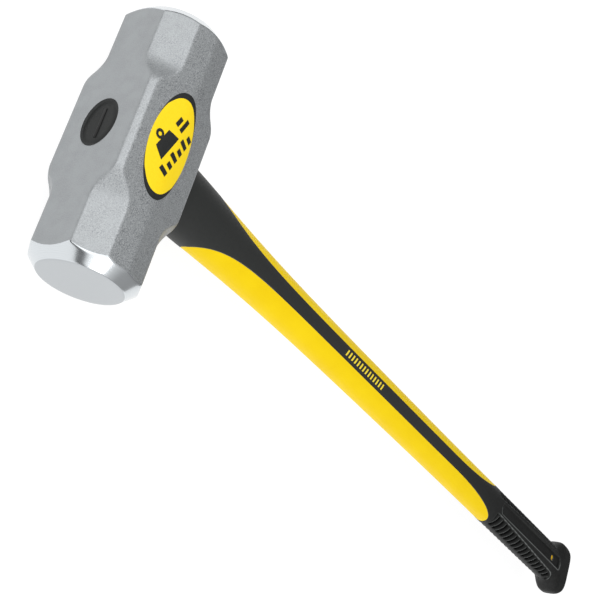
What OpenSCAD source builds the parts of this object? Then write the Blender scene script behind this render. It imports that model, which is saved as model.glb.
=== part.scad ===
// Two-handed sledgehammer, double faced, with a moulded oval handle. It lies on one cheek.
// X runs from the head to the butt of the handle, Y along the head, Z up through the cheeks.
// The origin is on the floor, under the middle of the overall length.

/* [Overall] */
// Length from the top of the head to the end of the butt
overall_len = 891; // [740:1:980]

/* [Head] */
// Length of the head between its two striking faces
head_len = 202; // [180:1:240]
// Height of the head along the handle
head_h = 74; // [68:1:84]
// Width across the ridges of the two cheeks
head_w = 77.4; // [72:0.2:86]
// Forging draft of the cheeks, in degrees each side of the ridge
cheek_draft = 10; // [4:0.5:12]
// Distance from the head's axis to the wide chamfers at the ends
end_chamfer_d = 38.2; // [36.5:0.1:40]
// Distance from the head's axis to the narrow chamfers beside the eye
eye_chamfer_d = 46.4; // [44:0.1:49]
// Half length of the full section beside the eye
eye_zone = 32; // [28:1:38]
// Radius of the outer curve where the section steps down
step_out_r = 16; // [10:1:20]
// Radius of the inner curve where the section steps down
step_in_r = 25; // [16:1:30]
// Diameter of the flat of each striking face
face_d = 61; // [56:0.5:68]

/* [Eye] */
// Length of the eye's mouth along the head
eye_l = 37.5; // [34:0.5:42]
// Width of the eye's mouth across the head
eye_w = 28.5; // [26:0.5:32]
// How much shorter the eye's waist is than its mouth
eye_waist = 3; // [1:0.1:5]
// How far the resin lies below the top of the head
resin_recess = 1.2; // [0.6:0.1:3]
// Depth of resin over the end of the rod
resin_cap = 6; // [3:0.5:12]
// Thickness of the seal that closes the lower mouth of the eye
seal_t = 6; // [3:0.5:10]

/* [Wedge] */
// Length of the wedge along the eye
wedge_l = 23; // [16:0.5:25]
// Thickness of the wedge at its top
wedge_t = 2.4; // [1.6:0.1:3.5]
// Thickness of the wedge at its tip
wedge_tip = 0.8; // [0.5:0.1:1.2]
// Depth of the wedge from its top to its tip
wedge_d = 26; // [18:1:34]

/* [Handle] */
// Width of the shaft along the head's direction
shaft_w = 39.6; // [36:0.2:44]
// Thickness of the shaft
shaft_t = 28.2; // [25:0.2:32]
// Extra width of the neck where it meets the head
neck_flare = 15.8; // [10:0.5:20]
// Length over which the neck tapers to the shaft
neck_len = 108; // [80:1:130]
// Extra width of the grip just before the butt
grip_swell = 3; // [0:0.2:6]
// Length over which the grip swells
swell_len = 360; // [150:5:400]
// Extra width of the butt over the grip
butt_flare = 16.2; // [8:0.2:20]
// Length of the slope from the grip to the butt
flare_len = 20; // [18:1:40]
// Length of the butt behind that slope
butt_len = 16; // [15:1:40]
// Radius of the two corners of the butt, seen from the broad side
butt_r = 11; // [6:0.5:15]
// Radius of the edge round the end of the butt, across its thickness
butt_edge = 4; // [2:0.5:8]
// How flat the broad sides of the butt are, where 2 is a plain oval
butt_power = 3.2; // [2:0.1:4]
// Width of the fibreglass rod
rod_w = 26; // [22:0.5:27]
// Thickness of the fibreglass rod
rod_t = 16; // [13:0.5:18]
// Distance from the end of the rod to the hanging hole
rod_hole_gap = 10; // [5:0.5:20]
// Thickness of the rubber over the jacket
rubber_t = 2.2; // [1.5:0.1:3]
// Solid rubber between the head and the start of the jacket
jacket_head_gap = 5; // [3:0.5:10]
// Solid rubber behind the end of the jacket
jacket_butt_gap = 8; // [5:0.5:15]

/* [Windows] */
// Distance from the head to the start of the yellow windows
window_gap = 42; // [25:1:60]
// Distance from the end of the butt to the far end of the windows
grip_len = 214; // [195:1:280]
// Width of the rubber stripe between the windows
stripe_w = 12.4; // [8:0.2:18]
// Length of the rounded end of each window near the grip
window_round = 105; // [60:1:140]
// Length over which the window opens up from the neck
window_open = 36; // [30:1:80]

/* [Grip] */
// Diameter of the hole to hang the hammer by
hang_d = 6; // [5:0.5:10]
// Distance from the end of the butt to the middle of the hole
hang_from_end = 51.5; // [40:1:70]
// Length of the sunk panel along the cheek side of the grip
panel_len = 173; // [120:1:180]
// Width of that panel
panel_w = 11; // [9:0.2:14]
// Depth of that panel at its shallow end
panel_d = 0.8; // [0.4:0.1:1.2]
// Distance from the middle of the hole to the end of the panel near the butt
panel_past_hole = 21; // [10:1:26]
// Number of finger grooves
groove_n = 17; // [8:1:20]
// Distance between finger grooves
groove_pitch = 10.4; // [8:0.1:11]
// Distance from the end of the butt to the last finger groove
groove_from_end = 39; // [34:1:60]
// Radius of each finger groove
groove_r = 3; // [2:0.5:5]
// Depth of each finger groove
groove_d = 1; // [0.5:0.1:1.5]

/* [Label] */
// Length of the label
label_l = 73; // [50:1:76]
// Width of the label
label_w = 33; // [24:1:38]
// Thickness of the label
label_t = 0.3; // [0.2:0.1:0.6]

/* [Hidden] */

// All modules are drawn about the middle of the head, and place() moves them to the floor
top_x = -head_h / 2;
under_x = head_h / 2;
butt_x = overall_len - head_h / 2;
ridge_z = head_w / 2;
rest_z = ridge_z;
aspect = shaft_t / shaft_w;

// Size of what cuts right through the part, and how far a cut runs past what it cuts
reach = 2 * head_w;
past = 1;

// Head
cheek_edge_z = ridge_z - under_x * tan(cheek_draft);
step_drop = eye_chamfer_d - end_chamfer_d;
step_angle = acos(1 - step_drop / (step_out_r + step_in_r));
step_mid = eye_zone + step_out_r * sin(step_angle);
step_end = step_mid + step_in_r * sin(step_angle);
face_y = head_len / 2;
clear_r = eye_chamfer_d + step_drop;
waist_x = under_x / 3;

// Shape of the neck's taper, and how many times neck_len it takes to die away
neck_power = 1.5;
neck_reach = 2.4;

// Rings, steps and sides that the curves are drawn with
arc_steps = 6;
neck_steps = 10;
swell_steps = 4;
flare_steps = 6;
window_steps = 24;
sides = 48;
round_fn = 64;

// Handle
shaft_r = shaft_w / 2;
flare_end_x = butt_x - butt_len;
flare_start_x = flare_end_x - flare_len;
swell_start_x = flare_start_x - swell_len;
taper_end_x = under_x + neck_reach * neck_len;
jacket_start_x = under_x + jacket_head_gap;
jacket_end_x = butt_x - jacket_butt_gap;
hang_x = butt_x - hang_from_end;
rod_end_x = hang_x - hang_d / 2 - rod_hole_gap;
rod_start_x = top_x + resin_recess + resin_cap;
window_start_x = under_x + window_gap;
window_end_x = butt_x - grip_len;
panel_end_x = hang_x + panel_past_hole;
panel_start_x = panel_end_x - panel_len;
groove_end_x = butt_x - groove_from_end;

function blend(t) = let (u = min(max(t, 0), 1)) u * u * (3 - 2 * u);

// Half width of the handle without its butt, at a distance x from the middle of the head
function grip_r(x) = shaft_r
    + neck_flare / 2 * exp(-pow(max(x - under_x, 0) / neck_len, neck_power))
    + grip_swell / 2 * blend((x - swell_start_x) / swell_len);

// Half width and half thickness of the handle, which gets wider at the butt but no thicker
function butt_share(x) = blend((x - flare_start_x) / flare_len);
function handle_r(x) = grip_r(x) + butt_flare / 2 * butt_share(x);
function handle_t(x) = aspect * grip_r(x);

// How much a rounded edge of radius r takes off at a distance x, when it ends at the butt's end
function edge_cut(x, r) = let (over = max(x - butt_x + r, 0)) r - sqrt(max(r * r - over * over, 0));

// One ring of the handle's outside: place, half width, half thickness and how square it is
function handle_ring(x) = [x, handle_r(x) - edge_cut(x, butt_r), handle_t(x) - edge_cut(x, butt_edge),
                           2 + (butt_power - 2) * butt_share(x)];

// Half width of the rubber stripe between the windows, which covers the handle at both ends
function cover_r(x) = handle_r(x) + past - stripe_w / 2;
function stripe_r(x) =
    let (round = max((x - window_end_x + window_round) / window_round, 0))
    stripe_w / 2
    + cover_r(window_start_x) * exp(-(x - window_start_x) / window_open)
    + cover_r(x) * (1 - sqrt(max(1 - round * round, 0)));

function spaced(a, b, n) = [for (i = [0:n]) a + (b - a) * i / n];

handle_x = concat(spaced(under_x, taper_end_x, neck_steps),
                  [(taper_end_x + swell_start_x) / 2],
                  spaced(swell_start_x, flare_start_x, swell_steps),
                  [for (x = spaced(flare_start_x, flare_end_x, flare_steps))
                   if (x > flare_start_x) x],
                  [for (a = spaced(0, 90, arc_steps)) butt_x - butt_r * (1 - sin(a))]);

module place() {
    translate([(head_h - overall_len) / 2, 0, rest_z]) children();
}

function squared(value, power) = sign(value) * pow(abs(value), 2 / power);

// Oval solid along x, given as rings of [x, half width, half thickness, how square it is]
module oval_solid(rings) {
    last = len(rings) - 1;
    points = [for (ring = rings) for (k = [0:sides - 1])
              [ring[0], ring[1] * squared(cos(360 * k / sides), ring[3]),
               ring[2] * squared(sin(360 * k / sides), ring[3])]];
    strip = [for (i = [0:last - 1]) for (k = [0:sides - 1])
             let (a = i * sides + k, b = i * sides + (k + 1) % sides)
             each [[a, b + sides, b], [a, a + sides, b + sides]]];
    caps = [[for (k = [0:sides - 1]) k], [for (k = [sides - 1:-1:0]) last * sides + k]];
    polyhedron(points, concat(strip, caps));
}

// The outside of the whole handle, from under the head to the end of the butt
module handle_body() {
    oval_solid([for (x = handle_x) handle_ring(x)]);
}

// The straight oval inside of the jacket that the rubber is moulded over
module jacket_core() {
    core_r = shaft_r - rubber_t;
    oval_solid([for (x = [jacket_start_x, jacket_end_x]) [x, core_r, core_r * aspect, 2]]);
}

// Solid that fills the parts of the handle where the jacket shows
module windows() {
    outline = [for (x = spaced(window_start_x, window_end_x, window_steps)) [x, stripe_r(x)]];
    side = reach / 2;
    for (s = [0, 1]) mirror([0, s, 0]) translate([0, 0, -side]) linear_extrude(2 * side)
        polygon(concat(outline, [[window_end_x, side], [window_start_x, side]]));
}

// Half of the section of the head as it steps from beside the eye to the ends
function step_side() = concat(
    [for (a = spaced(0, step_angle, arc_steps))
     [eye_chamfer_d - step_out_r * (1 - cos(a)), eye_zone + step_out_r * sin(a)]],
    [for (a = spaced(step_angle, 0, arc_steps))
     if (a < step_angle) [end_chamfer_d + step_in_r * (1 - cos(a)), step_end - step_in_r * sin(a)]]);

module chamfer_slab() {
    near = step_side();
    quarter = concat([[eye_chamfer_d, 0]], near, [[end_chamfer_d, face_y]]);
    right = concat([for (i = [len(quarter) - 1:-1:1]) [quarter[i][0], -quarter[i][1]]], quarter);
    left = [for (i = [len(right) - 1:-1:0]) [-right[i][0], right[i][1]]];
    translate([0, 0, -reach / 2]) linear_extrude(reach) polygon(concat(right, left));
}

module cheeks(raise = 0) {
    edge = cheek_edge_z + raise;
    ridge = ridge_z + raise;
    rotate([90, 0, 0]) linear_extrude(reach * 2, center = true)
        polygon([[top_x, -edge], [0, -ridge], [under_x, -edge],
                 [under_x, edge], [0, ridge], [top_x, edge]]);
}

module turned_ends() {
    face_r = face_d / 2;
    run = clear_r - face_r;
    rotate([90, 0, 0]) rotate_extrude($fn = round_fn)
        polygon([[0, -face_y], [face_r, -face_y], [clear_r, run - face_y],
                 [clear_r, face_y - run], [face_r, face_y], [0, face_y]]);
}

// The eye narrows from both mouths to a waist a little below its middle
module eye() {
    mouth_r = eye_l / 2;
    waist_r = mouth_r - eye_waist / 2;
    oval_solid([for (end = [[top_x, mouth_r], [waist_x, waist_r], [under_x, mouth_r]])
                [end[0], end[1], end[1] * eye_w / eye_l, 2]]);
}

module between_x(x_from, x_to) {
    translate([x_from, -reach / 2, -reach / 2]) cube([x_to - x_from, reach, reach]);
}

module rod(x_from, x_to) {
    side = (rod_w - rod_t) / 2;
    translate([x_from, 0, 0]) rotate([0, 90, 0]) linear_extrude(x_to - x_from) {
        square([rod_t, 2 * side], center = true);
        for (y = [-side, side]) translate([0, y]) circle(d = rod_t, $fn = round_fn);
    }
}

module wedge() {
    wedge_top = top_x + resin_recess;
    rotate([90, 0, 0]) linear_extrude(wedge_l, center = true)
        polygon([[wedge_top, -wedge_t / 2], [wedge_top + wedge_d, -wedge_tip / 2],
                 [wedge_top + wedge_d, wedge_tip / 2], [wedge_top, wedge_t / 2]]);
}

module hang_hole() {
    translate([hang_x, 0, -reach / 2]) cylinder(h = reach, d = hang_d, $fn = round_fn);
}

// Sunk panel with round ends along both broad sides of the grip
module grip_panels() {
    floor_z = handle_t(panel_start_x) - panel_d;
    round_r = panel_w / 2;
    straight = panel_len - panel_w;
    for (s = [0, 1]) mirror([0, 0, s]) translate([panel_end_x - round_r, 0, floor_z]) {
        translate([-straight, -round_r, 0]) cube([straight, panel_w, reach]);
        for (x = [-straight, 0]) translate([x, 0, 0]) cylinder(h = reach, r = round_r, $fn = round_fn);
    }
}

module finger_grooves() {
    for (s = [0, 1]) mirror([0, s, 0]) for (i = [0:groove_n - 1]) {
        x = groove_end_x - i * groove_pitch;
        translate([x, -handle_r(x) - groove_r + groove_d, -shaft_t / 2])
            cylinder(h = shaft_t, r = groove_r, $fn = round_fn);
    }
}

module head() {
    color("silver") place() difference() {
        intersection() {
            cheeks();
            rotate([0, 45, 0]) chamfer_slab();
            rotate([0, -45, 0]) chamfer_slab();
            turned_ends();
        }
        eye();
    }
}

module core_rod() {
    color("khaki") place() difference() {
        rod(rod_start_x, rod_end_x);
        wedge();
    }
}

module handle_jacket() {
    color("gold") place() difference() {
        union() {
            jacket_core();
            intersection() {
                handle_body();
                windows();
            }
        }
        rod(jacket_start_x - past, rod_end_x);
        hang_hole();
    }
}

module grip_overmould() {
    color("dimgray") place() difference() {
        handle_body();
        jacket_core();
        windows();
        rod(under_x - past, jacket_start_x + past);
        hang_hole();
        grip_panels();
        finger_grooves();
    }
}

module eye_resin() {
    color("darkslategray") place() difference() {
        intersection() {
            eye();
            between_x(top_x + resin_recess, under_x - seal_t);
        }
        rod(rod_start_x, under_x);
        wedge();
    }
}

module eye_wedge() {
    color("black") place() wedge();
}

module eye_seal() {
    color("black") place() difference() {
        intersection() {
            eye();
            between_x(under_x - seal_t, under_x);
        }
        rod(rod_start_x, under_x + past);
    }
}

module weight_label() {
    color("yellow") place() difference() {
        intersection() {
            cheeks(label_t);
            linear_extrude(reach) polygon([for (k = [0:sides - 1])
                [label_w / 2 * cos(360 * k / sides), label_l / 2 * sin(360 * k / sides)]]);
        }
        cheeks();
    }
}

head();
core_rod();
handle_jacket();
grip_overmould();
eye_resin();
eye_wedge();
eye_seal();
weight_label();
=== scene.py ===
import bpy, math
from mathutils import Euler, Matrix, Vector


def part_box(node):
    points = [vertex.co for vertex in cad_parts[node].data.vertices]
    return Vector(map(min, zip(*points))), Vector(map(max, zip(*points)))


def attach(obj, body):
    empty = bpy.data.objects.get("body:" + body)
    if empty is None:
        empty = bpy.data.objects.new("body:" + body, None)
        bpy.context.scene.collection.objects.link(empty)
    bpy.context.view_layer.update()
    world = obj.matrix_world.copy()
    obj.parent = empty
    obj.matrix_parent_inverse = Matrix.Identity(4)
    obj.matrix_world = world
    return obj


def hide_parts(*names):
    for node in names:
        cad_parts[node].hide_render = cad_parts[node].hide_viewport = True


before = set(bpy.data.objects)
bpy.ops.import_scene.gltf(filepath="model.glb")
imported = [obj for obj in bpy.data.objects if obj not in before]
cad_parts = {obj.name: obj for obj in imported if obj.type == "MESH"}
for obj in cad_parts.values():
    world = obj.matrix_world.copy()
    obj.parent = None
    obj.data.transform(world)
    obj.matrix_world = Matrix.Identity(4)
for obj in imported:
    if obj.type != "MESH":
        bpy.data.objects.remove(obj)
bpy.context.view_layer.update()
mm = 0.001

# the head's own box gives the middle of the head, which every piece is drawn about
headLow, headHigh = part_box("head")
_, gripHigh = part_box("grip_overmould")
centre = (headLow + headHigh) / 2
buttX = (gripHigh.x - centre.x) / mm
print("frame loaded, butt at", round(buttX, 1), "mm from the middle of the head")


def place(x, y, z):
    return Vector((centre.x + x * mm, centre.y + y * mm, centre.z + z * mm))


def blend(t):
    u = min(max(t, 0), 1)
    return u * u * (3 - 2 * u)


def softMin(values, size):
    # smallest of the values, rounded off over about size mm where two of them meet
    low = min(values)
    return low - size * math.log(sum(math.exp((low - v) / size) for v in values))


def deselectAll():
    if bpy.context.object and bpy.context.object.mode != "OBJECT":
        bpy.ops.object.mode_set(mode="OBJECT")
    bpy.ops.object.select_all(action="DESELECT")


def makeActive(piece):
    deselectAll()
    piece.select_set(True)
    bpy.context.view_layer.objects.active = piece


def applyModifiers(piece):
    makeActive(piece)
    for m in list(piece.modifiers):
        bpy.ops.object.modifier_apply(modifier=m.name)


def applyPlace(piece):
    makeActive(piece)
    bpy.ops.object.transform_apply(location=True, rotation=True, scale=True)


def smooth(piece, degrees):
    makeActive(piece)
    bpy.ops.object.shade_smooth_by_angle(angle=math.radians(degrees))


def cleanUp(piece, gap):
    # joins what meets and turns every face outwards
    makeActive(piece)
    bpy.ops.object.mode_set(mode="EDIT")
    bpy.ops.mesh.select_all(action="SELECT")
    bpy.ops.mesh.remove_doubles(threshold=gap * mm)
    bpy.ops.mesh.dissolve_degenerate(threshold=gap * mm)
    bpy.ops.mesh.select_all(action="SELECT")
    bpy.ops.mesh.normals_make_consistent(inside=False)
    bpy.ops.object.mode_set(mode="OBJECT")


def closeEnds(piece):
    # joins the two sides of a wrapped grid, closes both ends and turns every face outwards
    makeActive(piece)
    bpy.ops.object.mode_set(mode="EDIT")
    bpy.ops.mesh.select_all(action="SELECT")
    bpy.ops.mesh.remove_doubles(threshold=0.002 * mm)
    bpy.ops.mesh.select_all(action="DESELECT")
    bpy.ops.mesh.select_mode(type="EDGE")
    bpy.ops.mesh.select_non_manifold()
    bpy.ops.mesh.edge_face_add()
    bpy.ops.mesh.select_mode(type="VERT")
    bpy.ops.mesh.select_all(action="SELECT")
    bpy.ops.mesh.normals_make_consistent(inside=False)
    bpy.ops.object.mode_set(mode="OBJECT")


def flipFaces(piece):
    makeActive(piece)
    bpy.ops.object.mode_set(mode="EDIT")
    bpy.ops.mesh.select_all(action="SELECT")
    bpy.ops.mesh.flip_normals()
    bpy.ops.object.mode_set(mode="OBJECT")


def clearPoints(piece):
    # leaves no vertex and no edge selected
    for part in list(piece.data.vertices) + list(piece.data.edges):
        part.select = False


def wrapGrid(name, rows, columns, shape):
    # a grid whose points are bent to shape(row, column), both counted from 0
    deselectAll()
    bpy.ops.mesh.primitive_grid_add(x_subdivisions=columns, y_subdivisions=rows, size=1)
    piece = bpy.context.object
    piece.name = name
    piece.data.name = name
    for v in piece.data.vertices:
        column = round((v.co.x + 0.5) * columns)
        row = round((v.co.y + 0.5) * rows)
        v.co = shape(row, column)
    return piece


def joinPieces(pieces, name):
    deselectAll()
    for p in pieces:
        p.select_set(True)
    bpy.context.view_layer.objects.active = pieces[0]
    bpy.ops.object.join()
    pieces[0].name = name
    return pieces[0]


def mirrorCopy(piece, axis):
    # a copy with its own mesh, mirrored through the middle of the handle
    makeActive(piece)
    bpy.ops.object.duplicate(linked=False)
    copy = bpy.context.object
    flip = Matrix.Scale(-1, 4, axis)
    copy.data.transform(Matrix.Translation(centre) @ flip @ Matrix.Translation(-centre))
    return copy


def colour(hexValue):
    # sRGB hex to the linear values that Blender mixes
    def linear(c):
        c = c / 255
        return c / 12.92 if c <= 0.04045 else ((c + 0.055) / 1.055) ** 2.4
    return tuple(linear(int(hexValue[i:i + 2], 16)) for i in (1, 3, 5)) + (1,)


def addNode(tree, kind, inputs, out=0, **settings):
    # adds one node and gives its output; an input is a value, or a socket that gets linked
    node = tree.nodes.new("ShaderNode" + kind)
    for key, value in settings.items():
        setattr(node, key, value)
    for key, value in inputs.items() if isinstance(inputs, dict) else enumerate(inputs):
        if isinstance(value, bpy.types.NodeSocket):
            tree.links.new(value, node.inputs[key])
        else:
            node.inputs[key].default_value = value
    return node.outputs[out]


def newMaterial(name, settings):
    # what is the same all over goes on the shader's own sockets; patterns read the piece's coordinates
    material = bpy.data.materials.new(name)
    material.use_nodes = True
    tree = material.node_tree
    shader = tree.nodes["Principled BSDF"]
    for key, value in settings.items():
        shader.inputs[key].default_value = value
    return material, tree, shader, addNode(tree, "TexCoord", {}, "Object")


def plug(tree, shader, sources):
    for key, source in sources.items():
        tree.links.new(source, shader.inputs[key])


def layColour(tree, under, source, span, amounts, hexValue):
    # lays a colour over another, more or less of it as source goes through span
    share = addNode(tree, "MapRange", [source, *span, *amounts])
    return addNode(tree, "Mix", {0: share, 6: under, 7: colour(hexValue)}, 2, data_type="RGBA")


def patternSurface(tree, shader, pattern, span, tones, roughness, strength, height):
    # one pattern gives a small change of colour, the roughness, and a relief of some height in mm
    plug(tree, shader, {
        "Base Color": layColour(tree, colour(tones[0]), pattern, span, (0, 1), tones[1]),
        "Roughness": addNode(tree, "MapRange", [pattern, *span, *roughness]),
        "Normal": addNode(tree, "Bump", {"Strength": strength, "Distance": height * mm, "Height": pattern}),
    })


noiseSpan = (0.3, 0.7)  # nearly all of a noise lies in here

head = {
    "width": 74, "length": 202, "ridge": 38.7, "draft": 10,
    "endChamfer": 38.2, "eyeChamfer": 46.4, "eyeZone": 32, "stepOut": 16, "stepIn": 25,
    "face": 61, "columns": 384,
    "edge": 0.3, "endEdge": 0.28, "ridgeSoft": 0.006, "ridgeUnderLabel": 0.026,
}


def paintedSteel():
    # forged steel sprayed with hammered grey lacquer, then ground bare at both ends
    # lacquer: matt, with a sparkling grain drawn 0.75 mm wide, as the real one is too fine to show
    # ground steel: bright, with turned rings drawn 0.35 mm apart for the same reason
    material, tree, shader, spot = newMaterial("greyLacquerOverForgedSteel",
                                               {"Base Color": colour("#8A8F92")})
    local = addNode(tree, "VectorMath", [spot, centre], operation="SUBTRACT")
    part = addNode(tree, "SeparateXYZ", [local]).node.outputs
    flat = addNode(tree, "CombineXYZ", {0: part[0], 2: part[2]})
    radius = addNode(tree, "VectorMath", [flat], "Value", operation="LENGTH")
    along = addNode(tree, "Math", [part[1]], operation="ABSOLUTE")
    # the bare ends begin where the grinding cone meets the sides, along a slightly wandering edge
    cone = addNode(tree, "Math", [along, radius], operation="ADD")
    wobble = addNode(tree, "TexNoise", {"Vector": spot, "Scale": 1 / (2.5 * mm)})
    wander = addNode(tree, "MapRange", [wobble, *noiseSpan, -0.12 * mm, 0.12 * mm])
    cone = addNode(tree, "Math", [cone, wander], operation="ADD")
    edge = (head["length"] + head["face"]) / 2
    bare = addNode(tree, "MapRange", [cone, (edge - 0.75) * mm, (edge - 0.5) * mm, 0, 1])
    half = head["length"] / 2
    endOn = addNode(tree, "MapRange", [along, (half - 0.5) * mm, (half - 0.3) * mm, 0, 1])
    bare = addNode(tree, "Math", [bare, endOn], operation="MAXIMUM")
    grain = addNode(tree, "TexNoise", {"Vector": spot, "Scale": 1 / (0.75 * mm), "Detail": 3,
                                       "Roughness": 0.75})
    coarse = addNode(tree, "TexNoise", {"Vector": spot, "Scale": 1 / (9 * mm)})
    # the two flat ends of the eye are pressed smooth, the sides keep their full grain
    facing = addNode(tree, "SeparateXYZ", [addNode(tree, "TexCoord", {}, "Normal")])
    facing = addNode(tree, "Math", [facing], operation="ABSOLUTE")
    pressed = addNode(tree, "MapRange", [facing, 0.3, 0.97, 0, 0.8])
    grain = addNode(tree, "Mix", {0: pressed, 2: grain, 3: 0.48})
    lacquer = layColour(tree, colour("#63676A"), grain, (0.34, 0.66), (0, 1), "#C6C9CB")
    lacquer = layColour(tree, lacquer, coarse, (0.35, 0.65), (0, 0.35), "#A8ACAE")
    rings = addNode(tree, "TexNoise", {"W": radius, "Scale": 1 / (0.35 * mm)}, noise_dimensions="1D")
    steel = layColour(tree, colour("#CDD2D5"), rings, noiseSpan, (0, 1), "#D8DCDF")
    steel = addNode(tree, "Mix", {0: endOn, 6: steel, 7: colour("#B7BBBE")}, 2, data_type="RGBA")
    matt = addNode(tree, "MapRange", [grain, *noiseSpan, 0.42, 0.56])
    shiny = addNode(tree, "MapRange", [rings, *noiseSpan, 0.15, 0.2])
    painted = addNode(tree, "Math", [1.0, bare], operation="SUBTRACT")
    grainHeight = addNode(tree, "Math", [grain, painted], operation="MULTIPLY")
    ringHeight = addNode(tree, "Math", [rings, bare], operation="MULTIPLY")
    normal = addNode(tree, "Bump", {"Strength": 0.5, "Distance": 0.25 * mm, "Height": grainHeight})
    normal = addNode(tree, "Bump", {"Strength": 0.05, "Distance": 0.02 * mm, "Height": ringHeight,
                                    "Normal": normal})
    plug(tree, shader, {
        "Base Color": addNode(tree, "Mix", {0: bare, 6: lacquer, 7: steel}, 2, data_type="RGBA"),
        "Metallic": addNode(tree, "Mix", {0: bare, 2: 0.55, 3: 1.0}),
        "Roughness": addNode(tree, "Mix", {0: bare, 2: matt, 3: shiny}),
        "Normal": normal,
    })
    return material


def mouldedRubber():
    # injection-moulded thermoplastic rubber: soft black, with a grain that breaks up every highlight,
    # drawn 0.6 mm wide because the mould's own texture is too fine to show
    material, tree, shader, spot = newMaterial("blackMouldedRubber",
                                               {"Base Color": colour("#1C1E1D"), "IOR": 1.5})
    grain = addNode(tree, "TexNoise", {"Vector": spot, "Scale": 1 / (0.6 * mm), "Detail": 3,
                                       "Roughness": 0.6})
    cloud = addNode(tree, "TexNoise", {"Vector": spot, "Scale": 1 / (3.2 * mm), "Detail": 4,
                                       "Roughness": 0.7})
    local = addNode(tree, "VectorMath", [spot, centre], operation="SUBTRACT")
    along, across = addNode(tree, "SeparateXYZ", [local]).node.outputs[:2]
    edges = addNode(tree, "NewGeometry", {}, "Pointiness")
    deep = addNode(tree, "Attribute", {}, "Fac", attribute_name="hollow")
    gripZone, hollowSpan = (0.48, 0.68), (0.1, 0.8)
    # the rubber is coloured darker over the grip than at the neck, with a little dirt in the grain
    base = layColour(tree, colour("#272928"), along, gripZone, (0, 1), "#070808")
    base = layColour(tree, base, grain, noiseSpan, (0.35, 0), "#0A0B0B")
    base = layColour(tree, base, cloud, (0.4, 0.62), (0, 0.5), "#1E201F")
    # creases and hollow corners, where pointiness is low, are darkened: painted shade
    base = layColour(tree, base, edges, (0.455, 0.495), (0.85, 0), "#020303")
    # raised edges are lightened as a painted highlight, on one side of the stripe more than on the other,
    # where the light catches them
    raised = addNode(tree, "MapRange", [edges, 0.51, 0.55, 0, 0.9])
    litSide = addNode(tree, "MapRange", [across, 0, 3 * mm, 1, 0.15])
    edgeHighlight = addNode(tree, "Math", [raised, litSide], operation="MULTIPLY")
    base = addNode(tree, "Mix", {0: edgeHighlight, 6: base, 7: colour("#6C6F6E")}, 2, data_type="RGBA")
    # the hollows of the moulded pattern are darkened almost to black: painted shade
    base = layColour(tree, base, deep, hollowSpan, (0, 0.95), "#010101")
    sheen = addNode(tree, "MapRange", [deep, *hollowSpan, 0.5, 0.08])
    dulled = addNode(tree, "MapRange", [along, *gripZone, 1, 0.6])
    plug(tree, shader, {
        "Base Color": base,
        "Specular IOR Level": addNode(tree, "Math", [sheen, dulled], operation="MULTIPLY"),
        "Roughness": addNode(tree, "MapRange", [grain, *noiseSpan, 0.48, 0.62]),
        "Normal": addNode(tree, "Bump", {"Strength": 0.3, "Distance": 0.12 * mm, "Height": grain}),
    })
    return material


def yellowPlastic():
    # injection-moulded polypropylene with glass: even satin yellow with a faint orange peel
    # its specular level is low because the real one shows hardly any sheen
    material, tree, shader, spot = newMaterial("yellowGlassFilledPlastic", {
        "Base Color": colour("#F3CE08"), "IOR": 1.49, "Specular IOR Level": 0.16})
    peel = addNode(tree, "TexNoise", {"Vector": spot, "Scale": 1 / (1.6 * mm)})
    cloud = addNode(tree, "TexNoise", {"Vector": spot, "Scale": 1 / (30 * mm)})
    plug(tree, shader, {
        "Base Color": layColour(tree, colour("#F3CF05"), cloud, noiseSpan, (0, 1), "#F7D50A"),
        "Roughness": addNode(tree, "MapRange", [peel, *noiseSpan, 0.42, 0.54]),
        "Normal": addNode(tree, "Bump", {"Strength": 0.02, "Distance": 0.05 * mm, "Height": peel}),
    })
    return material


def castResin():
    # cast epoxy: dark grey with little gloss, and small dimples where air came out
    material, tree, shader, spot = newMaterial("darkCastEpoxy", {
        "Base Color": colour("#181A19"), "IOR": 1.55, "Specular IOR Level": 0.3})
    grain = addNode(tree, "TexNoise", {"Vector": spot, "Scale": 1 / (0.9 * mm), "Detail": 3})
    patternSurface(tree, shader, grain, noiseSpan, ("#0C0E0D", "#171A19"), (0.4, 0.6), 0.3, 0.2)
    return material


def wedgePlastic():
    # moulded nylon: smoother than the resin round it, and near black, which is partly its own colour and
    # partly painted shade for the dark gap along its edge
    material, tree, shader, spot = newMaterial("blackNylon", {
        "Base Color": colour("#070808"), "IOR": 1.53, "Specular IOR Level": 0.25})
    grain = addNode(tree, "TexNoise", {"Vector": spot, "Scale": 1 / (0.8 * mm)})
    patternSurface(tree, shader, grain, noiseSpan, ("#050606", "#0B0C0C"), (0.3, 0.45), 0.2, 0.1)
    return material


def sealRubber():
    # foamed rubber: dull black with open pores about 0.8 mm across
    material, tree, shader, spot = newMaterial("blackSealRubber", {"Base Color": colour("#1D1E1E"),
                                                                   "IOR": 1.5})
    pores = addNode(tree, "TexVoronoi", {"Vector": spot, "Scale": 1 / (0.8 * mm)})
    patternSurface(tree, shader, pores, (0.1, 0.6), ("#141515", "#262828"), (0.85, 0.7), 0.4, 0.2)
    return material


def glassRod():
    # pultruded glass fibre: pale straw, with strands along the rod
    material, tree, shader, spot = newMaterial("pultrudedGlassFibre",
                                               {"Base Color": colour("#CDBE8C"), "IOR": 1.52})
    long = addNode(tree, "Mapping", {"Vector": spot, "Scale": (0.03, 1, 1)})
    strands = addNode(tree, "TexNoise", {"Vector": long, "Scale": 1 / (0.4 * mm), "Detail": 3,
                                         "Roughness": 0.6})
    patternSurface(tree, shader, strands, noiseSpan, ("#BFAF7C", "#DCCF9F"), (0.3, 0.5), 0.3, 0.1)
    return material


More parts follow.
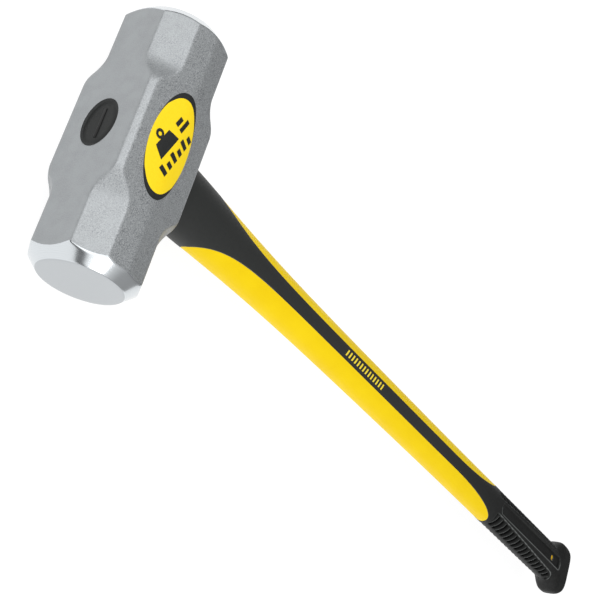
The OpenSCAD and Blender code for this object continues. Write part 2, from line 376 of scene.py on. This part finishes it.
def printedFilm(name, hexValue, otherHex):
    # printed vinyl film: even ink under a thin satin laminate
    material, tree, shader, spot = newMaterial(name, {
        "Base Color": colour(hexValue), "IOR": 1.46, "Coat Weight": 0.1, "Coat Roughness": 0.2})
    peel = addNode(tree, "TexNoise", {"Vector": spot, "Scale": 1 / (1.2 * mm)})
    patternSurface(tree, shader, peel, noiseSpan, (hexValue, otherHex), (0.38, 0.5), 0.08, 0.05)
    return material


def setMaterial(piece, material):
    piece.data.materials.clear()
    piece.data.materials.append(material)


steelLook = paintedSteel()
rubberLook = mouldedRubber()
yellowLook = yellowPlastic()
resinLook = castResin()
wedgeLook = wedgePlastic()
sealLook = sealRubber()
rodLook = glassRod()
labelYellow = printedFilm("yellowPrintedFilm", "#FFDA0C", "#FFE016")
labelBlack = printedFilm("blackPrintedFilm", "#1A1B1B", "#222424")
markYellow = printedFilm("yellowStripeInk", "#F6DB3A", "#FFE63C")
print("materials made")

stepDrop = head["eyeChamfer"] - head["endChamfer"]
stepAngle = math.acos(1 - stepDrop / (head["stepOut"] + head["stepIn"]))
stepMid = head["eyeZone"] + head["stepOut"] * math.sin(stepAngle)
stepEnd = stepMid + head["stepIn"] * math.sin(stepAngle)


beyond = 1e3  # mm, further out than any surface of the head


def chamferAt(y):
    # distance of the 45 degree chamfers from the head's axis, stepping down beside the eye
    y = abs(y)
    if y <= head["eyeZone"]:
        return head["eyeChamfer"]
    if y <= stepMid:
        return (head["eyeChamfer"] - head["stepOut"]
                + math.sqrt(head["stepOut"] ** 2 - (y - head["eyeZone"]) ** 2))
    if y <= stepEnd:
        return head["endChamfer"] + head["stepIn"] - math.sqrt(head["stepIn"] ** 2 - (stepEnd - y) ** 2)
    return head["endChamfer"]


def headRadius(angle, y):
    # distance of the head's surface from its axis: the nearest plane in that direction
    c, s = abs(math.cos(angle)), abs(math.sin(angle))
    draft = math.tan(math.radians(head["draft"]))
    # the ridge of each cheek is rounded, more so under the label in the middle
    soft = head["ridgeSoft"] + head["ridgeUnderLabel"] * (1 - blend((abs(y) - 25) / 40))
    rise = math.sqrt((c * draft) ** 2 + soft ** 2)
    flank = head["ridge"] / (s + rise) if s > 0.2 else beyond
    sides = head["width"] / 2 / c if c > 0.05 else beyond
    chamfer = chamferAt(y) * math.sqrt(2) / (c + s)
    body = softMin([flank, sides, chamfer], head["edge"])
    cone = (head["face"] + head["length"]) / 2 - abs(y)
    return softMin([body, cone], head["endEdge"])


def headRows():
    # stations along the head: closer together where the ends are ground
    half = head["length"] / 2
    stations = [0, 8, 16, 24, 29, 32] + [32 + 1.5 * i for i in range(1, 18)]
    stations += [60, 63, 66, 69, 72, 75] + [75 + 0.55 * i for i in range(1, 46)]
    stations = sorted(set(y for y in stations if y < half - 0.6))
    return [-y for y in reversed(stations[1:])] + stations


def buildHead():
    half = head["length"] / 2
    stations = headRows()
    # the ground ends turn over a small radius into a flat face
    faceR = head["face"] / 2
    rim = [(half - 0.45, faceR + 0.42), (half - 0.18, faceR + 0.05), (half - 0.04, faceR - 0.6)]
    flat = [(half, faceR * t) for t in (0.93, 0.8, 0.6, 0.4, 0.2, 0.02)]
    rings = [(-y, r) for y, r in reversed(rim + flat)] + [(y, None) for y in stations] + rim + flat

    def shape(row, column):
        y, r = rings[row]
        angle = 2 * math.pi * column / head["columns"]
        if r is None:
            r = headRadius(angle, y)
        return place(r * math.cos(angle), y, r * math.sin(angle))

    piece = wrapGrid("head_forging", len(rings) - 1, head["columns"], shape)
    closeEnds(piece)
    return piece


eye = {"length": 37.5, "width": 28.5, "waist": 3, "recess": 1.2, "seal": 6}


def eyeCutter():
    # oval hourglass through the head, wider for a moment at each mouth so that the edge is broken
    sizes = [(-45, 0.5), (-37.2, 0.5), (-36.6, 0.0), (12.3, -eye["waist"] / 2),
             (36.6, 0.0), (37.2, 0.5), (45, 0.5)]

    def shape(row, column):
        x, extra = sizes[row]
        angle = 2 * math.pi * column / 96
        return place(x, (eye["length"] / 2 + extra) * math.cos(angle),
                     (eye["width"] / 2 + extra) * math.sin(angle))

    piece = wrapGrid("eye_cutter", len(sizes) - 1, 96, shape)
    closeEnds(piece)
    return piece


headPiece = buildHead()
cutter = eyeCutter()
cut = headPiece.modifiers.new("eye", "BOOLEAN")
cut.operation = "DIFFERENCE"
cut.solver = "EXACT"
cut.object = cutter
applyModifiers(headPiece)
bpy.data.objects.remove(cutter)
setMaterial(headPiece, steelLook)
smooth(headPiece, 28)
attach(headPiece, "root")
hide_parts("head")
print("head made with", len(headPiece.data.polygons), "faces")

def buildResin():
    # top of the resin: a shallow pool with a groove round it, and a lip where it wets the steel
    top = -head["width"] / 2 + eye["recess"]
    rings = [(0.0, 0.3), (0.3, 0.3), (0.6, 0.25), (0.8, 0.2), (0.84, 0.55), (0.88, 0.5),
             (0.93, 0.0), (0.97, -0.5), (1.0, -0.95), (1.025, -1.12)]
    columns = 96

    def shape(row, column):
        share, depth = rings[row]
        angle = 2 * math.pi * column / columns
        return place(top + depth, eye["length"] / 2 * share * math.cos(angle),
                     eye["width"] / 2 * share * math.sin(angle))

    piece = wrapGrid("eye_resin_fill", len(rings) - 1, columns, shape)
    makeActive(piece)
    bpy.ops.object.mode_set(mode="EDIT")
    bpy.ops.mesh.select_all(action="SELECT")
    bpy.ops.mesh.remove_doubles(threshold=0.01 * mm)
    # its outer edge goes down the eye to the seal
    bpy.ops.mesh.select_all(action="DESELECT")
    bpy.ops.mesh.select_mode(type="EDGE")
    bpy.ops.mesh.select_non_manifold()
    depth = head["width"] - eye["recess"] - eye["seal"] + 0.3
    bpy.ops.mesh.extrude_region_move(TRANSFORM_OT_translate={"value": (depth * 0.5 * mm, 0, 0)})
    bpy.ops.transform.resize(value=(1, 0.92, 0.92), center_override=centre)
    bpy.ops.mesh.extrude_region_move(TRANSFORM_OT_translate={"value": (depth * 0.48 * mm, 0, 0)})
    bpy.ops.transform.resize(value=(1, 1.07, 1.07), center_override=centre)
    bpy.ops.mesh.edge_face_add()
    bpy.ops.mesh.select_all(action="SELECT")
    bpy.ops.mesh.normals_make_consistent(inside=False)
    bpy.ops.object.mode_set(mode="OBJECT")
    return piece


resin = buildResin()
setMaterial(resin, resinLook)
# the resin's outer ring, where it rises against the steel, and its sides get the black seal material instead
# of the resin's
resin.data.materials.append(sealLook)
for p in resin.data.polygons:
    y, z = (p.center.y - centre.y) / mm, (p.center.z - centre.z) / mm
    p.material_index = 1 if math.hypot(y / eye["length"], z / eye["width"]) > 0.455 else 0
smooth(resin, 50)
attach(resin, "root")
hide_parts("eye_resin")

wedge = {"length": 23, "top": 2.4, "tip": 0.8, "depth": 26, "stand": 0.25}


def buildWedge():
    # thin tapered wedge, with its top edges rounded over
    low = -head["width"] / 2 + eye["recess"] - wedge["stand"]
    deselectAll()
    bpy.ops.mesh.primitive_cube_add(size=1, location=place(low + wedge["depth"] / 2, 0, 0),
                                    scale=(wedge["depth"] * mm, wedge["length"] * mm, wedge["top"] * mm))
    piece = bpy.context.object
    piece.name = "eye_wedge_insert"
    applyPlace(piece)
    bpy.ops.object.mode_set(mode="EDIT")
    bpy.ops.mesh.select_all(action="DESELECT")
    bpy.ops.object.mode_set(mode="OBJECT")
    deep = max(v.co.x for v in piece.data.vertices)
    for v in piece.data.vertices:
        v.select = v.co.x > deep - 0.1 * mm
    bpy.ops.object.mode_set(mode="EDIT")
    bpy.ops.transform.resize(value=(1, 1, wedge["tip"] / wedge["top"]), center_override=centre)
    bpy.ops.object.mode_set(mode="OBJECT")
    edge = piece.modifiers.new("edge", "BEVEL")
    edge.width = 0.35 * mm
    edge.segments = 3
    applyModifiers(piece)
    return piece


wedgePiece = buildWedge()
setMaterial(wedgePiece, wedgeLook)
smooth(wedgePiece, 40)
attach(wedgePiece, "root")
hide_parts("eye_wedge")

for node, look in (("eye_seal", sealLook), ("core_rod", rodLook)):
    setMaterial(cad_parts[node], look)
print("eye made")

handle = {
    "shaft": 39.6, "thickness": 28.2, "neckFlare": 15.8, "neckLength": 108,
    "swell": 3, "swellLength": 360, "buttFlare": 16.2, "flareLength": 20, "buttLength": 16, "buttRadius": 11,
    "buttEdge": 4, "buttPower": 3.2,
    "windowGap": 42, "gripLength": 214, "stripe": 12.4, "windowRound": 105, "windowOpen": 36,
    "lip": 0.15, "lipRadius": 0.5,
}
underX = head["width"] / 2
aspect = handle["thickness"] / handle["shaft"]
flareEnd = buttX - handle["buttLength"]
flareStart = flareEnd - handle["flareLength"]
swellStart = flareStart - handle["swellLength"]
windowStart = underX + handle["windowGap"]
windowEnd = buttX - handle["gripLength"]


def gripHalf(x):
    # half width of the handle along the head's direction, without its butt
    wide = handle["shaft"] / 2
    wide += handle["neckFlare"] / 2 * math.exp(-(max(x - underX, 0) / handle["neckLength"]) ** 1.5)
    return wide + handle["swell"] / 2 * blend((x - swellStart) / handle["swellLength"])


def buttShare(x):
    return blend((x - flareStart) / handle["flareLength"])


def edgeCut(x, radius):
    # what a rounded edge takes off near the end of the butt
    over = max(x - buttX + radius, 0)
    return radius - math.sqrt(max(radius * radius - over * over, 0))


def halfWidth(x):
    return gripHalf(x) + handle["buttFlare"] / 2 * buttShare(x) - edgeCut(x, handle["buttRadius"])


def halfThick(x):
    return gripHalf(x) * aspect - edgeCut(x, handle["buttEdge"])


def stripeHalf(x):
    # half width of the rubber stripe between the two windows
    past = min(max((x - windowEnd + handle["windowRound"]) / handle["windowRound"], 0), 1)
    cover = halfWidth(x) + 1 - handle["stripe"] / 2
    coverNeck = halfWidth(windowStart) + 1 - handle["stripe"] / 2
    return (handle["stripe"] / 2 + coverNeck * math.exp(-(x - windowStart) / handle["windowOpen"])
            + cover * (1 - math.sqrt(1 - past * past)))


def windowAngle(x):
    # half the angle that a window takes of the section; nothing outside the windows
    if x <= windowStart or x >= windowEnd:
        return 0
    return math.acos(min(stripeHalf(x) / halfWidth(x), 1))


def squared(value, power):
    return math.copysign(abs(value) ** (2 / power), value)


def ovalPoint(x, angle, lift=0):
    # a point of the handle's oval section, lifted off it; the section is squarer at the butt
    a, b = halfWidth(x), halfThick(x)
    over = max(x - buttX + handle["buttRadius"], 0) / handle["buttRadius"]
    power = 2 + (handle["buttPower"] - 2) * buttShare(x) + 2 * over * over
    y, z = a * squared(math.cos(angle), power), b * squared(math.sin(angle), power)
    ny = math.copysign(abs(y / a) ** (power - 1), y) / a
    nz = math.copysign(abs(z / b) ** (power - 1), z) / b
    size = math.hypot(ny, nz) or 1
    return place(x, y + lift * ny / size, z + lift * nz / size)


grip = {
    "ribs": 17, "pitch": 10.4, "fromEnd": 39, "ribBend": 5, "ribDepth": 2.0,
    "bandStart": 8.3, "bandEnd": 14.8, "bandRound": 9,
    "panelLength": 173, "panelStart": 5.2, "panelWide": 6.2, "panelDepth": 1.1, "panelPastHole": 21,
    "hole": 6, "holeFromEnd": 51.5, "sleeve": 25, "bead": 0.45,
}
holeX = buttX - grip["holeFromEnd"]
panelEnd = holeX + grip["panelPastHole"]
panelStart = panelEnd - grip["panelLength"]
ribEnd = buttX - grip["fromEnd"]
ribStart = ribEnd - (grip["ribs"] - 1) * grip["pitch"]


def bandLine(x):
    # distance of the ribbed band's edge from the middle of the broad side; it rounds off at both ends
    share = (x - ribStart) / (ribEnd - ribStart)
    y = grip["bandStart"] + (grip["bandEnd"] - grip["bandStart"]) * share
    over = max(x - ribEnd + 6, 0) / 12
    under = max(ribStart - 2 - x, 0) / 8
    buttEnd, headEnd = (grip["bandRound"] * (1 - math.sqrt(max(1 - min(s, 1) ** 2,
                                                               0))) for s in (over, under))
    return y + buttEnd + headEnd


def gripRelief(x, y):
    # how far the moulded grip stands out (+) or is sunk (-) at a point of its upper half
    share = min(max((x - panelStart) / (panelEnd - panelStart), 0), 1)
    half = grip["panelStart"] + (grip["panelWide"] - grip["panelStart"]) * share
    corner = half if x < holeX else 3.2
    backX, backY = min(max(x, panelStart + corner), panelEnd - corner), min(abs(y), half - corner)
    gap = corner - math.hypot(x - backX, abs(y) - backY)
    height = -(grip["panelDepth"] + 0.7 * share) * blend(gap / 0.8 + 0.4)
    height += grip["bead"] * math.exp(-((gap + 1.1) / 0.7) ** 2) * (1 - 0.85 * blend(y + 0.5))
    if ribStart - 12 < x < ribEnd + 8:
        line = bandLine(x)
        inBand = blend((abs(y) - line) / 0.9)
        ends = blend((x - ribStart + 5) / 4) * blend((ribEnd + 7 - x) / 3)
        height += 0.55 * math.exp(-((abs(y) - line + 0.6) / 0.7) ** 2) * blend((x - ribStart + 3) / 6) * ends
        # saw-toothed ribs: each rises slowly and drops away fast, towards the butt
        outward = min(max((abs(y) - line) / (halfWidth(x) - line), 0), 1)
        step = ((x + grip["ribBend"] * outward * outward - ribStart) / grip["pitch"] + 0.5) % 1
        rib = blend(step / 0.7) * (1 - blend((step - 0.72) / 0.28))
        edge = 1 - blend((abs(y) - halfWidth(x) + 1.6) / 1.5)
        height -= inBand * ends * edge * grip["ribDepth"] * (1 - rib)
    return height


def rubberStations():
    # places along the handle, closer together where the shape changes fast
    stations = [underX + 0.02]
    x = underX
    while x < buttX - handle["buttRadius"]:
        if x < windowStart + 12:
            step = 1.5
        elif x > windowEnd - 12:
            step = 0.74
        elif x > windowEnd - 50:
            step = 2.2
        else:
            step = 5
        x += step
        stations.append(x)
    stations = [x for x in stations if x < buttX - handle["buttRadius"] - 0.4]
    ends = [buttX - handle["buttRadius"] * (1 - math.sin(math.radians(a))) for a in range(0, 90, 5)]
    near = [windowEnd - d for d in (0.05, 0.3)]
    return sorted(set(stations + ends + near)) + [buttX]


stationsX = rubberStations()
acrossShares = 96


def rubberShape(row, column):
    # upper half of the rubber, from one window's edge over the stripe to the other's
    x = stationsX[row]
    edge = windowAngle(x)
    # the first and last columns turn down into the window as a rounded lip
    lip = handle["lip"] if edge > 0 else 0
    radius = handle["lipRadius"] if edge > 0 else 0
    turn = {0: (-0.06, -0.75), 1: (0.0, -0.1), 2: (0.3, 0.75), 3: (0.9, 1.0)}
    fromEdge = min(column, acrossShares - column)
    share = column / acrossShares
    angle = edge + share * (math.pi - 2 * edge)
    wide = halfWidth(x)
    if edge > 0 and fromEdge in turn:
        out, up = turn[fromEdge]
        step = out * radius / halfThick(x)
        angle = edge + step if column < acrossShares / 2 else math.pi - edge - step
        lift = lip * up
    else:
        lift = lip
    if x > ribStart - 12 and fromEdge not in turn:
        lift += gripRelief(x, wide * math.cos(angle)) * (1 if edge == 0 else blend((fromEdge - 3) / 4))
    # the lip's height dies away past the ends of the windows
    if edge == 0:
        past = max(windowStart - x, x - windowEnd)
        lift += handle["lip"] * (1 - blend(past / 25))
    return ovalPoint(x, angle, lift)


def buildRubber():
    upper = wrapGrid("rubber_upper", len(stationsX) - 1, acrossShares, rubberShape)
    lower = mirrorCopy(upper, Vector((0, 0, 1)))
    piece = joinPieces([upper, lower], "rubber_grip")
    makeActive(piece)
    bpy.ops.object.mode_set(mode="EDIT")
    bpy.ops.mesh.select_all(action="SELECT")
    bpy.ops.mesh.remove_doubles(threshold=0.004 * mm)
    # flat end of the butt: its open rim is pulled in and filled
    bpy.ops.mesh.select_all(action="DESELECT")
    bpy.ops.object.mode_set(mode="OBJECT")
    last = centre.x + buttX * mm
    for v in piece.data.vertices:
        v.select = v.co.x > last - 0.001 * mm
    bpy.ops.object.mode_set(mode="EDIT")
    bpy.ops.mesh.edge_face_add()
    bpy.ops.mesh.inset(thickness=3 * mm, depth=0)
    bpy.ops.mesh.poke()
    bpy.ops.mesh.select_all(action="SELECT")
    bpy.ops.mesh.normals_make_consistent(inside=False)
    bpy.ops.object.mode_set(mode="OBJECT")
    return piece


def openHole(piece):
    # hanging hole: the faces over it are removed, the rim is rounded to a circle and drawn inwards
    middle = place(holeX, 0, 0)
    radius = grip["hole"] / 2 * mm
    for p in piece.data.polygons:
        p.select = math.hypot(p.center.x - middle.x, p.center.y - middle.y) < radius * 0.97
    makeActive(piece)
    clearPoints(piece)
    bpy.ops.object.mode_set(mode="EDIT")
    bpy.ops.mesh.select_mode(type="FACE")
    bpy.ops.mesh.delete(type="FACE")
    bpy.ops.mesh.select_mode(type="EDGE")
    bpy.ops.mesh.select_non_manifold()
    bpy.ops.object.mode_set(mode="OBJECT")
    near = [v for v in piece.data.vertices
            if v.select and math.hypot(v.co.x - middle.x, v.co.y - middle.y) < radius * 1.6]
    clearPoints(piece)
    for v in near:
        out = Vector((v.co.x - middle.x, v.co.y - middle.y, 0)).normalized() * radius
        v.co.x, v.co.y = middle.x + out.x, middle.y + out.y
        v.select = True
    bpy.ops.object.mode_set(mode="EDIT")
    bpy.ops.mesh.select_mode(type="VERT")
    bpy.ops.mesh.select_mode(type="EDGE")
    bpy.ops.mesh.extrude_region_move(TRANSFORM_OT_translate={"value": (0, 0, 0)})
    bpy.ops.transform.resize(value=(1, 1, 0.8), center_override=middle)
    bpy.ops.mesh.select_mode(type="VERT")
    bpy.ops.object.mode_set(mode="OBJECT")


def markHollows(piece):
    # keeps how deep each point of the moulded pattern lies, for the painted shade in the rubber's hollows and
    # their lower sheen
    hollow = piece.data.attributes.new("hollow", "FLOAT", "POINT")
    for v in piece.data.vertices:
        x, y = (v.co.x - centre.x) / mm, (v.co.y - centre.y) / mm
        if ribStart - 12 < x < ribEnd + 10:
            share = 1 if abs(y) > bandLine(x) - 0.5 else 0.3
            hollow.data[v.index].value = min(max(-gripRelief(x, y) / grip["ribDepth"], 0), 1) * share


rubber = buildRubber()
openHole(rubber)
markHollows(rubber)
setMaterial(rubber, rubberLook)
smooth(rubber, 40)
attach(rubber, "root")
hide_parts("grip_overmould")
print("rubber made with", len(rubber.data.polygons), "faces")


def buildJacket():
    # yellow jacket: each window is its own crowned patch, flush with the rubber's edge
    xs = [windowStart + (windowEnd - windowStart) * (1 - math.cos(math.pi * i / 150)) / 2 for i in range(151)]
    columns = 48

    def shape(row, column):
        x = xs[row]
        edge = windowAngle(min(max(x, windowStart + 0.01), windowEnd - 0.01)) + 0.02
        return ovalPoint(x, edge * (2 * column / columns - 1), -0.05)

    right = wrapGrid("jacket_side", len(xs) - 1, columns, shape)
    return right, mirrorCopy(right, Vector((0, 1, 0)))


def outwards(piece):
    # turns a patch's faces away from the middle of the handle
    wrong = 0
    for p in piece.data.polygons:
        out = Vector((0, p.center.y - centre.y, p.center.z - centre.z))
        wrong += 1 if p.normal.dot(out) < 0 else -1
    if wrong > 0:
        flipFaces(piece)


sides = buildJacket()
for s in sides:
    outwards(s)
jacket = joinPieces(list(sides), "yellow_jacket")
wall = jacket.modifiers.new("wall", "SOLIDIFY")
wall.thickness = 1.2 * mm
wall.offset = -1
applyModifiers(jacket)
deselectAll()
# the sleeve of the hanging hole is a little narrower than the rubber's rim, so that they don't coincide
bpy.ops.mesh.primitive_cylinder_add(vertices=48, radius=grip["hole"] / 2 * 0.96 * mm,
                                    depth=grip["sleeve"] * mm,
                                    end_fill_type="NOTHING", location=place(holeX, 0, 0))
sleeve = bpy.context.object
applyPlace(sleeve)
bpy.ops.object.mode_set(mode="EDIT")
bpy.ops.mesh.select_all(action="SELECT")
bpy.ops.mesh.subdivide(number_cuts=1)
bpy.ops.mesh.normals_make_consistent(inside=True)
bpy.ops.object.mode_set(mode="OBJECT")
jacket = joinPieces([jacket, sleeve], "yellow_jacket")
setMaterial(jacket, yellowLook)
smooth(jacket, 40)
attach(jacket, "root")
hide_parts("handle_jacket")
print("jacket made")

label = {
    "length": 73, "width": 39, "blackLength": 81, "turn": 20, "sign": 1.14, "x": -4, "y": 1.5,
    "borderLift": 0.12, "fieldLift": 0.22, "signLift": 0.45,
}


def cheekHeight(x, y):
    # height of the near cheek over the head's axis, found on the finished head's own shape
    r = 38.0
    for _ in range(12):
        z = r
        angle = math.atan2(z, x)
        r = headRadius(angle, y) * math.sin(angle)
    return r


def ovalPatch(name, halfX, halfY, height):
    # an oval film that follows the cheek, with its edge pressed down
    columns, rings = 72, 14

    def shape(row, column):
        angle = 2 * math.pi * column / columns
        share = row / rings
        x = label["x"] + halfX * share * math.cos(angle)
        y = label["y"] + halfY * share * math.sin(angle)
        lift = height if share < 0.97 else height * 0.4
        return place(x, y, cheekHeight(x, y) + lift)

    piece = wrapGrid(name, rings, columns, shape)
    cleanUp(piece, 0.005)
    return piece


blackFilm = ovalPatch("label_border", label["width"] / 2, label["blackLength"] / 2, label["borderLift"])
yellowFilm = ovalPatch("label_field", label["width"] / 2 + 0.1, label["length"] / 2, label["fieldLift"])


def film(name, outlines, surface):
    # thin printed shapes: each outline is filled, cut into small faces and laid on surface(x, y)
    cell = 1.4  # mm, fine enough to follow the curve under it
    parts = []
    for outline in outlines:
        deselectAll()
        bpy.ops.mesh.primitive_circle_add(vertices=len(outline), radius=1, fill_type="NGON")
        part = bpy.context.object
        for v, (x, y) in zip(part.data.vertices, outline):
            v.co = (x * mm, y * mm, 0)
        bpy.ops.object.mode_set(mode="EDIT")
        for span, way in zip(zip(*outline), ((1, 0, 0), (0, 1, 0))):
            at = min(span) + cell
            while at < max(span):
                bpy.ops.mesh.select_all(action="SELECT")
                bpy.ops.mesh.bisect(plane_co=(at * mm * way[0], at * mm * way[1], 0), plane_no=way)
                at += cell
        bpy.ops.mesh.select_all(action="SELECT")
        bpy.ops.mesh.quads_convert_to_tris()
        bpy.ops.object.mode_set(mode="OBJECT")
        parts.append(part)
    piece = joinPieces(parts, name)
    for v in piece.data.vertices:
        v.co = surface(v.co.x / mm, v.co.y / mm)
    return piece


def ringOutline(x, y, outer, inner, start, stop):
    # open ring from one angle to another, as one outline
    steps = 20
    turns = [math.radians(start + (stop - start) * i / steps) for i in range(steps + 1)]
    outside = [(x + outer * math.cos(a), y + outer * math.sin(a)) for a in turns]
    inside = [(x + inner * math.cos(a), y + inner * math.sin(a)) for a in reversed(turns)]
    return outside + inside


def signOutlines():
    # generic sign: a block weight with its ring over a graduated bar; no lettering
    block = [(-12.5, -0.6), (7.5, -0.6), (4.6, 8.0), (-9.6, 8.0)]
    longBar = [(11.5, 0.4), (21.5, 0.4), (21.5, 3.2), (11.5, 3.2)]
    shortBar = [(11.5, 5.0), (18.0, 5.0), (18.0, 7.8), (11.5, 7.8)]
    shapes = [block, ringOutline(-2.5, 10.6, 3.1, 1.3, -88, 268), longBar, shortBar]
    for i in range(6):
        high = -3.0 if i % 2 == 0 else -5.2
        at = -17 + i * 6.1
        shapes.append([(at, -9.6), (at + 3.4, -9.6), (at + 3.4, high), (at, high)])
    return shapes


def onLabel(t, u):
    # the sign is turned a little on the oval, and reads along the head
    turn = math.radians(label["turn"])
    t, u = t * label["sign"], u * label["sign"]
    x = label["x"] + t * math.sin(turn) - u * math.cos(turn)
    y = label["y"] + t * math.cos(turn) + u * math.sin(turn)
    return place(x, y, cheekHeight(x, y) + label["signLift"])


sign = film("label_sign", signOutlines(), onLabel)


def upwards(piece):
    # turns a thin film's faces up
    if sum(p.normal.z * p.area for p in piece.data.polygons) < 0:
        flipFaces(piece)


for piece, look in ((blackFilm, labelBlack), (yellowFilm, labelYellow), (sign, labelBlack)):
    setMaterial(piece, look)
    smooth(piece, 60)
    upwards(piece)
    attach(piece, "root")
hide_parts("weight_label")

stripeMark = {"start": 296, "pitch": 5.1, "count": 14, "height": 6, "bar": 2.2, "slant": 3.0, "lift": 0.05}


def markOutlines():
    # row of equal slanted bars
    half = stripeMark["height"] / 2
    bar, slant = stripeMark["bar"], stripeMark["slant"]
    shapes = []
    for i in range(stripeMark["count"]):
        x = stripeMark["start"] + i * stripeMark["pitch"]
        shapes.append([(x, -half), (x + bar, -half), (x + slant + bar, half), (x + slant, half)])
    return shapes


def onStripe(x, y):
    return ovalPoint(x, math.acos(y / halfWidth(x)), handle["lip"] + stripeMark["lift"])


mark = film("stripe_mark", markOutlines(), onStripe)
setMaterial(mark, markYellow)
upwards(mark)
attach(mark, "root")
print("label and marks made")

studio = {
    "overHead": 1.24, "overButt": 0.21, "horizon": 0.08, "bandTilt": 0.35,
    "nearSide": 2.2, "farSide": 0.92, "strength": 0.86,
    # each light has its place and size in metres, and its power in watts
    "key": ((-1.31, 0.62, 1.22), (1.1, 0.9), 9.0), "front": ((-0.36, -1.42, 0.78), (0.5, 0.9), 4.2),
}

deselectAll()
bpy.ops.mesh.primitive_plane_add(size=12, location=(0, 0, -0.0005))
floor = bpy.context.object
floor.name = "floor"
# lit paper sweep: it glows softly, so that only a faint shadow is left on it
floorLook = newMaterial("litPaperSweep", {
    "Base Color": colour("#7A7A7A"), "Roughness": 0.9, "Specular IOR Level": 0.0,
    "Emission Color": (1, 1, 1, 1), "Emission Strength": 0.9})[0]
setMaterial(floor, floorLook)

# soft tent: brighter over the head than over the butt, with a darker band low down
world = bpy.data.worlds.new("studio")
bpy.context.scene.world = world
world.use_nodes = True
tent = world.node_tree
way = addNode(tent, "TexCoord", {}, "Generated")
wayX, wayY, wayZ = addNode(tent, "SeparateXYZ", [way]).node.outputs
slope = addNode(tent, "MapRange", [wayX, -1, 0.6, studio["overHead"], studio["overButt"]])
# the dark band stands higher over the head
tilt = addNode(tent, "Math", [wayX, studio["bandTilt"], wayZ], operation="MULTIPLY_ADD")
low = addNode(tent, "MapRange", [tilt, 0.05, 0.2, studio["horizon"], 1])
side = addNode(tent, "MapRange", [wayY, -0.6, 0.6, studio["nearSide"], studio["farSide"]])
glow = addNode(tent, "Math", [slope, low], operation="MULTIPLY")
glow = addNode(tent, "Math", [glow, side], operation="MULTIPLY")
tent.links.new(glow, tent.nodes["Background"].inputs[0])
tent.nodes["Background"].inputs[1].default_value = studio["strength"]


def addLight(name, spec):
    location, size, power = spec
    data = bpy.data.lights.new(name, "AREA")
    data.shape = "RECTANGLE"
    data.size, data.size_y = size
    data.energy = power
    lamp = bpy.data.objects.new(name, data)
    bpy.context.scene.collection.objects.link(lamp)
    lamp.location = location
    lamp.rotation_euler = (centre - Vector(location)).to_track_quat("-Z", "Y").to_euler()


addLight("keyLight", studio["key"])
addLight("frontLight", studio["front"])

camera = {"lens": 81, "fromHead": (-0.57117, -0.40894, 0.60591), "turn": (-2.552, -56.224,
                                                                          30.807)}  # mm, m, degrees
cameraData = bpy.data.cameras.new("camera")
cameraData.sensor_width = 36
cameraData.lens = camera["lens"]
cameraData.clip_end = 50
cameraPiece = bpy.data.objects.new("camera", cameraData)
bpy.context.scene.collection.objects.link(cameraPiece)
turned = Euler([math.radians(angle) for angle in camera["turn"]]).to_matrix().to_4x4()
cameraPiece.matrix_world = Matrix.Translation(centre + Vector(camera["fromHead"])) @ turned
bpy.context.scene.camera = cameraPiece
bpy.context.scene.view_settings.view_transform = "Standard"
print("stage, lights and camera set")
